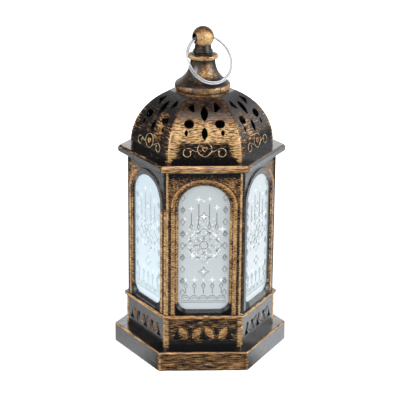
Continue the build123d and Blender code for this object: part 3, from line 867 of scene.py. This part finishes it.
def on_front_pane(across, level):
    """A point of the front pane's face."""
    return (across, -pane_apothem, level)


def glint_places():
    """Where the foil is: four-point glints and round pearls, as across, level, size and inner share."""
    spots = [(-5.2, 70.0), (5.2, 70.4), (0, 73.2), (-2.2, 73.8), (2.2, 74.2), (-7.9, 65.5), (7.6, 61.0)]
    spots += [(-4.6, 58.6), (4.6, 58.6), (-4.6, 49.4), (4.6, 49.4), (0, 66.5), (0, 42.3)]
    spots += [(step * scallop_pitch / mm, 38.6) for step in scallop_steps]
    places = [(x, z, glint_size * (1.0 + 0.35 * sin(2.4 * k)), 0.3) for k, (x, z) in enumerate(spots)]
    for ring, count in ((2.2, 8), (4.9, 16), (6.6, 24)):
        for k in range(count):
            t = tau * (k + 0.5) / count
            size = pearl_size * (0.8 + 0.5 * sin(3.7 * k) ** 2)
            places.append((ring * sin(t), star_level / mm + ring * cos(t), size, 0.92))
    for k in range(pearl_count):
        t = golden_turn * k
        reach = 8.6 * sqrt((k + 0.5) / pearl_count)
        size = pearl_size * (0.45 + 0.6 * sin(5.3 * k) ** 2)
        places.append((0.9 * reach * sin(t), 56.5 + 1.25 * reach * cos(t), size, 0.92))
    return places


def make_glints():
    """Small low pyramids of white foil on the front pane."""
    points, faces = [], []
    for across, level, size, inner in glint_places():
        outline = star_points((across * mm, level * mm), size, inner, 4)[:-1]
        count = len(outline)
        first = len(points)
        peak = first + count
        points += [(x, -pane_apothem - foil_front, z) for x, z in outline]
        points.append((across * mm, -pane_apothem - foil_peak, level * mm))
        points += [(x, -pane_apothem + foil_back, z) for x, z in outline]
        sides = [(k, (k + 1) % count) for k in range(count)]
        faces += [(first + k, peak, first + after) for k, after in sides]
        faces += [(first + k, first + after, peak + 1 + after, peak + 1 + k) for k, after in sides]
    mesh = bpy.data.meshes.new("glints")
    mesh.from_pydata(points, [], faces)
    shape = bmesh.new()
    shape.from_mesh(mesh)
    bmesh.ops.recalc_face_normals(shape, faces=shape.faces)
    shape.to_mesh(mesh)
    shape.free()
    return mesh


def make_round_tree():
    """A mesh copied round the lantern."""
    tree, size, result = new_geometry_tree("copies_round", Copies="Int")
    finish_tree(result, copies_round_axis(size["Geometry"], size["Copies"]), size["Material"])
    return tree


line_tree = make_line_tree()
round_tree = make_round_tree()
dress([name for name in nodes if name.startswith("window_pane_")], frosted("frosted_pane"))
print_work = grow("pane_print", line_mesh("print_paths", print_lines(), on_front_pane), line_tree, {
    "Radius": ink_radius,
    "Facets": 5,
    "Copies": side_count,
    "Material": ink("silver_grey_ink", ink_colour, 0.2, 0.4, ink_sheen_share),
})
glints = grow("pane_glints", make_glints(), round_tree, {
    "Copies": side_count,
    "Material": ink("white_foil", foil_colour, 0.0, 0.25, 0.0),
})
for piece in (print_work, glints):
    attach(piece, "lantern")


# Eave: a bevelled hexagonal plate that caps the walls and carries the dome. Its bevel and edge took most of
# the brushed gold, and its flat top stayed black.
# Less gold and paler bevels beside the front: part paint, part painted reflection.
eave_edge_cover_and_sheen = (0.80, 0.24, 0.74, 0.80, 0.74, 0.30)
eave_bevel_cover_and_sheen = (0.85, 0.48, 0.82, 0.85, 0.82, 0.54)
eave_warmth_and_sheen = (0.7, 0.2, 0.7, 0.7, 0.7, 0.3)


def eave_paint(surface):
    """Gold on the eave: its bevel and its edge, with the top and the underside black."""
    bevel = product(soft(surface.level, 88.2, 88.5), soft(surface.out, 29.4, 29.75))
    flat = soft(surface.up, 0.8, 0.95, 1.0, 0.0)
    under = soft(surface.up, -0.9, -0.5)
    cover = largest(product(bevel, surface.share(eave_bevel_cover_and_sheen)), surface.share(eave_edge_cover_and_sheen))
    cover = product(cover, largest(flat, product(bevel, 0.5)), under)
    return cover, 1.0, product(bevel, surface.share(eave_warmth_and_sheen))


dress(["eave"], lacquer(
    "eave_lacquer", eave_paint, length=4.5, contrast=1.3, gloss=high_gloss, shaded_top=top_shade,
))


# Dome: six bent panels in one moulding, pierced with lenses, barbs, rounds and drops. A medallion between
# two scrolls stands on the foot of each panel as a fine raised line.
dome_base_level = 89.3 * mm
dome_base_apothem = 25.85 * mm
dome_top_apothem = 11.85 * mm
dome_rise = 23.5 * mm
dome_bow = 4.25 * mm
dome_chord = sqrt((dome_base_apothem - dome_top_apothem) ** 2 + dome_rise**2)
dome_arc_radius = (dome_chord**2 / 4 + dome_bow**2) / (2 * dome_bow)
dome_inward = (dome_arc_radius - dome_bow) / dome_chord
dome_arc_out = (dome_base_apothem + dome_top_apothem) / 2 - dome_rise * dome_inward
dome_arc_level = dome_base_level + dome_rise / 2 - (dome_base_apothem - dome_top_apothem) * dome_inward
# Less gold on the ribs and panels beside the front: part paint, part painted reflection.
rib_cover_and_sheen = (0.94, 0.62, 0.80, 0.94, 0.80, 0.62)
panel_cover_and_sheen = (0.88, 0.44, 0.66, 0.88, 0.66, 0.38)
scroll_wire = 0.14 * mm
scroll_colours = ((0.10, 0.05, 0.03, 1), (0.70, 0.52, 0.30, 1))
scroll_start = -1.0 * mm
medallion_angle = radians(10)
medallion_half_width = 2.9 * mm
medallion_half_height = 2.8 * mm
curl_offset = 6.9 * mm
curl_rise = -1.6 * mm
curl_radius = 2.0 * mm
curl_turn = 0.86 * tau
curl_eye = 0.26 * mm
heart_size = 1.05 * mm
heart_wire = 0.26 * mm
heart_colours = ((0.14, 0.06, 0.03, 1), (0.60, 0.31, 0.14, 1))
line_facets = 8


def dome_paint(surface):
    """Gold on the dome: ribs and panels, thin at the top and by the scrolls, and a patch on two sides."""
    level = surface.level
    rib_gap = calc("SUBTRACT", product(surface.out, tan(pi / side_count)), surface.across)
    ribs = product(soft(rib_gap, 3.0, 0.7), surface.share(rib_cover_and_sheen))
    ribs = product(ribs, soft(level, 88.9, 89.9), soft(level, 99.0, 109.0, 1.0, 0.70))
    scrolls = product(soft(level, 99.0, 95.5), soft(surface.across, 13.5, 8.5))
    low = soft(level, 90.2, 92.0)
    high = soft(level, 103.0, 109.0, 1.0, 0.54)
    near = surface.frontward()
    panel = product(surface.share(panel_cover_and_sheen), soft(scrolls, 0.0, 1.0, 1.0, 0.30), low, high)
    panel = product(panel, soft(near, -10.0, 0.0, 0.5, 1.0))
    patch = product(soft(near, -1.0, 3.5), soft(near, 10.0, 6.0))
    patch = product(patch, soft(level, 94.0, 98.0), soft(level, 110.0, 105.0), 0.68)
    shine = soft(level, 102.0, 109.5, 1.0, 0.18)
    return largest(panel, patch, ribs), shine, soft(level, 100.0, 108.0, 0.0, 0.15)


def on_front_panel(across, up):
    """A point of the front panel, up along its arc from the medallion's middle."""
    angle = medallion_angle + up / dome_arc_radius
    out = dome_arc_out + dome_arc_radius * cos(angle)
    return (across, -out, dome_arc_level + dome_arc_radius * sin(angle))


def scroll_line(side):
    """A scroll: from the medallion over the curl's top and round into its eye."""
    line = []
    for k in range(7):
        t = k / 6
        across = medallion_half_width + (curl_offset - medallion_half_width) * t
        rise = scroll_start + (curl_rise + curl_radius - scroll_start) * (0.5 - 0.5 * cos(pi * t))
        line.append((side * across, rise))
    for k in range(1, 25):
        t = k / 24
        reach = curl_radius * (1.0 - 0.42 * t)
        turn = curl_turn * t
        line.append((side * (curl_offset + reach * sin(turn)), curl_rise + reach * cos(turn)))
    eye = line[-1]
    for k in range(1, 10):
        turn = tau * k / 8
        line.append((eye[0] + side * curl_eye * (cos(turn) - 1), eye[1] + curl_eye * sin(turn)))
    return line


def medallion_line():
    """A round medallion drawn down to a point."""
    line = []
    for k in range(41):
        turn = tau * k / 40
        point = max(0.0, -cos(turn)) ** 8
        width = medallion_half_width * sin(turn) * (1.0 - 0.15 * point)
        line.append((width, medallion_half_height * (cos(turn) - 0.12 * point)))
    return line


def heart_line():
    """The small closed heart in the medallion."""
    half = [(0.0, 0.35), (0.35, 0.75), (0.8, 0.7), (0.95, 0.3), (0.6, -0.35), (0.0, -0.95)]
    back = [(-x, z) for x, z in reversed(half[:-1])]
    return [(x * heart_size, z * heart_size) for x, z in half + back]


def rubbed_gold(name, worn, bright):
    """Gold rubbed bright on a raised line."""
    material, shader, surface = new_finish(name)
    share = soft(noise(surface.position, 700.0, 3.0), 0.32, 0.55)
    fill(shader, {
        "Base Color": colour_blend(share, worn, bright),
        "Roughness": soft(share, 0.0, 1.0, 0.5, 0.35),
        "Metallic": 0.3,
    })
    return material


dress(["dome"], lacquer("dome_lacquer", dome_paint, length=2.4, contrast=1.9, satin=1.0))
scroll_paths = [medallion_line(), scroll_line(-1), scroll_line(1)]
scrolls = grow("dome_scrolls", line_mesh("scroll_paths", scroll_paths, on_front_panel), line_tree, {
    "Radius": scroll_wire,
    "Facets": line_facets,
    "Copies": side_count,
    "Material": rubbed_gold("scroll_gold", *scroll_colours),
})
hearts = grow("dome_hearts", line_mesh("heart_paths", [heart_line()], on_front_panel), line_tree, {
    "Radius": heart_wire,
    "Facets": line_facets,
    "Copies": side_count,
    "Material": rubbed_gold("heart_gold", *heart_colours),
})
for piece in (scrolls, hearts):
    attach(piece, "lantern")


# Finial: one turned form from its flange to the ball, held by a screw from inside the dome. It stayed
# mostly black, with gold on the rim, the collar, the ball and one patch of the bell, and it shows the seam
# of its mould. The ball's gold is thinned toward its top and back-left as painted shade, and lifted toward
# its front as a painted highlight.
seam_azimuth = radians(-53)
seam_across = (-sin(seam_azimuth), cos(seam_azimuth), 0)
patch_and_light_direction = (0.35, -0.94, 0)
ball_highlight_point = (1.2, -4.2, 135.2)
bead_radius = 3.72 * mm
bead_wire = 0.45 * mm
bead_level = 129.55 * mm


def finial_paint(surface):
    """Gold on rim, flange, collar, ball and a bell patch, bare along the seam; painted shade and highlight
    on the ball.
    """
    level = surface.level
    place = scaled(surface.position, per_mm)
    toward = measure("DOT_PRODUCT", place, patch_and_light_direction)
    rim = product(soft(level, 113.4, 113.8), soft(level, 116.9, 115.8))
    rim = product(rim, soft(parts(place)["X"], -11.0, 9.0, 0.54, 0.86))
    flange = product(soft(level, 113.5, 113.3), 0.6)
    edge = product(soft(surface.out, 4.9, 5.5), soft(level, 126.0, 126.4), 0.88)
    # Painted shade: the ball's gold thins toward its top and its back-left.
    ball = product(soft(level, 132.2, 132.6), soft(level, 140.4, 136.0, 0.66, 0.92))
    ball = product(ball, soft(toward, -4.5, 2.5, 0.6, 1.0))
    # Painted highlight: the gold's tone is lifted round a point on the ball's front.
    painted_highlight = soft(measure("DISTANCE", place, ball_highlight_point), 1.2, 5.4, 1.3, 0.4)
    shine = blend(soft(level, 131.0, 132.2), 1.0, painted_highlight)
    patch = product(soft(level, 117.0, 120.5), soft(level, 126.2, 124.6), 0.72)
    patch = product(patch, soft(toward, 2.5, 6.2))
    seam = soft(calc("ABSOLUTE", measure("DOT_PRODUCT", place, seam_across)), 0.12, 0.32)
    seam = largest(seam, soft(level, 125.8, 126.2))
    cover = product(largest(rim, flange, edge, ball, patch, 0.38), seam)
    return cover, shine, 0.0


def on_neck(x, y):
    """A point round the neck, above the collar."""
    return (x, y, bead_level)


finial_lacquer = lacquer(
    "finial_lacquer", finial_paint, stipple=0.6, length=2.0, contrast=1.9, fine=2.0, satin=1.7,
)
dress(["finial"], finial_lacquer)
bead_path = [round_points((0, 0), bead_radius, 48)]
bead = grow("finial_bead", line_mesh("bead_path", bead_path, on_neck), line_tree, {
    "Radius": bead_wire,
    "Facets": 16,
    "Copies": 1,
    "Material": finial_lacquer,
})
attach(bead, "lantern")


# Ring: a split ring of bright nickel-plated spring wire, two flat turns that cross over at one place,
# threaded through the hole in the ball.
ring_radius = 10.15 * mm
ring_wire = 0.34 * mm
ring_pitch = 0.42 * mm
ring_spread = 0.64 * mm
ring_lift = 0.3 * mm
ring_lean = radians(31)
ring_azimuth = radians(30)
ring_crossing = radians(186)
ring_steps = 160
crossing_half = radians(13)
ring_ball = Vector((0, 0, 135.3 * mm))
nickel_colours = ((0.46, 0.46, 0.47, 1), (0.55, 0.55, 0.56, 1))


def ring_line():
    """The wire's middle line, turn by turn, in the ring's own plane and across it."""
    across = Vector((cos(ring_azimuth), sin(ring_azimuth), 0))
    away = Vector((across.y, -across.x, 0))
    down = away * sin(ring_lean) - Vector((0, 0, 1)) * cos(ring_lean)
    normal = across.cross(down)
    middle = ring_ball + down * (ring_radius - ring_lift)
    line = []
    for k in range(ring_steps + 1):
        travel = crossing_half + (2 * tau - 2 * crossing_half) * k / ring_steps
        share = min(1.0, max(0.0, (travel - tau + crossing_half) / (2 * crossing_half)))
        crossed = share * share * (3 - 2 * share) - 0.5
        reach = ring_radius + ring_spread * crossed
        turn = travel + ring_crossing
        outward = across * cos(turn) + down * sin(turn)
        line.append(middle + reach * outward + normal * ring_pitch * crossed)
    return line


def nickel(name):
    """Bright plating with fine drawing marks and a faint haze."""
    material, shader, surface = new_finish(name)
    haze = noise(surface.position, 160.0, 2.0)
    fill(shader, {
        "Base Color": colour_blend(soft(haze, 0.35, 0.65), *nickel_colours),
        "Roughness": soft(haze, 0.3, 0.7, 0.40, 0.46),
        "Metallic": 0.65,
        "Normal": relief(0.04, 0.02 * mm, haze),
    })
    return material


def as_it_is(*point):
    """A point that needs no placing."""
    return point


bright_nickel = nickel("bright_nickel")
dress(["split_ring"], bright_nickel)
ring = grow("ring_coil", line_mesh("ring_path", [ring_line()], as_it_is), line_tree, {
    "Radius": ring_wire,
    "Facets": 20,
    "Copies": 1,
    "Material": bright_nickel,
})
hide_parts("split_ring")
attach(ring, "ring")


# Bottom tray, battery door, switch and lamp: moulded black plastic with a fine spark texture, plated screws
# and contacts, a green board and a clear lamp. The tray is held by three long cross-head screws that go up
# through the foot.
screw_count = 3
screw_head_radius = 2.4 * mm
cross_length = 3.0 * mm
cross_width = 0.8 * mm
cross_depth = 0.7 * mm
tray_black = (0.018, 0.018, 0.019, 1)
switch_black = (0.03, 0.03, 0.032, 1)
board_green = (0.015, 0.11, 0.045, 1)
lens_cream = (0.82, 0.79, 0.68, 1)
steel_colour = (0.60, 0.60, 0.61, 1)
plating_colour = (0.68, 0.64, 0.56, 1)


def moulded(name, colour, roughness):
    """Moulded plastic with a fine spark texture and paler rubbed spots."""
    material, shader, surface = new_finish(name)
    rubbed = tuple(min(1.0, 1.8 * part + 0.01) for part in colour[:3]) + (1,)
    share = soft(noise(surface.position, 120.0, 5.0), 0.5, 0.75)
    fill(shader, {
        "Base Color": colour_blend(share, colour, rubbed),
        "Roughness": soft(share, 0.0, 1.0, roughness, roughness - 0.15),
        "Normal": relief(0.25, 0.03 * mm, noise(surface.position, 1600.0, 3.0)),
    })
    return material


def plated(name, colour, roughness):
    """Plated steel with a faint brushed grain."""
    material, shader, surface = new_finish(name)
    grain = noise(surface.position, 900.0, 4.0)
    dark = tuple(0.6 * part for part in colour[:3]) + (1,)
    fill(shader, {
        "Base Color": colour_blend(soft(grain, 0.3, 0.6), dark, colour),
        "Roughness": soft(grain, 0.2, 0.8, roughness, roughness + 0.15),
        "Metallic": 1.0,
    })
    return material


def screw_blanks():
    """The long screws as the frame gives them, with their faces joined up."""
    shape = bmesh.new()
    shape.from_mesh(nodes["base_screws"].data)
    bmesh.ops.remove_doubles(shape, verts=shape.verts, dist=0.001 * mm)
    mesh = bpy.data.meshes.new("screw_blanks")
    shape.to_mesh(mesh)
    shape.free()
    return mesh


def make_cross_tree():
    """Cuts a cross into the head of each screw of a ring of screws."""
    tree, size, result = new_geometry_tree(
        "cross_recesses",
        Count="Int", Circle="Float", Level="Float", Length="Float", Width="Float", Depth="Float",
    )
    tall = product(size["Depth"], 2.0)
    cross = add(tree, "GeometryNodeJoinGeometry")
    for long, wide in ((size["Length"], size["Width"]), (size["Width"], size["Length"])):
        bar = add(tree, "GeometryNodeMeshCube", {"Size": xyz(long, wide, tall)})
        fill(cross, {0: bar.outputs[0]})
    x = product(size["Circle"], cos(side_turn))
    y = product(size["Circle"], sin(side_turn))
    sockets = {"Geometry": cross.outputs[0], "Translation": xyz(x, y, size["Level"])}
    placed = add(tree, "GeometryNodeTransform", sockets).outputs[0]
    crosses = add(tree, "GeometryNodeRealizeInstances", {0: copies_round_axis(placed, size["Count"])})
    sockets = {"Mesh 1": size["Geometry"], "Mesh 2": crosses.outputs[0], "Self Intersection": True}
    cut = add(tree, "GeometryNodeMeshBoolean", sockets, operation="DIFFERENCE", solver="EXACT")
    finish_tree(result, cut.outputs[0], size["Material"])
    return tree


dress(["base_tray", "battery_door"], moulded("black_plastic", tray_black, 0.55))
dress(["switch_knob", "switch_housing"], moulded("switch_plastic", switch_black, 0.5))
dress(["circuit_board"], moulded("green_board", board_green, 0.45))
dress(["led_lamp"], moulded("lamp_lens", lens_cream, 0.3))
steel = plated("plated_steel", steel_colour, 0.28)
dress(["base_screws", "board_screws", "finial_screw", "finial_washer", "coin_cell"], steel)
screw_low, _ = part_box("base_screws")
base_screws = grow("base_screw_heads", screw_blanks(), make_cross_tree(), {
    "Count": screw_count,
    "Circle": -screw_low.x - screw_head_radius,
    "Level": screw_low.z,
    "Length": cross_length,
    "Width": cross_width,
    "Depth": cross_depth,
    "Material": steel,
})
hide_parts("base_screws")
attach(base_screws, "lantern")
dress(["contact_negative", "contact_positive", "led_leads"], plated("spring_plating", plating_colour, 0.25))
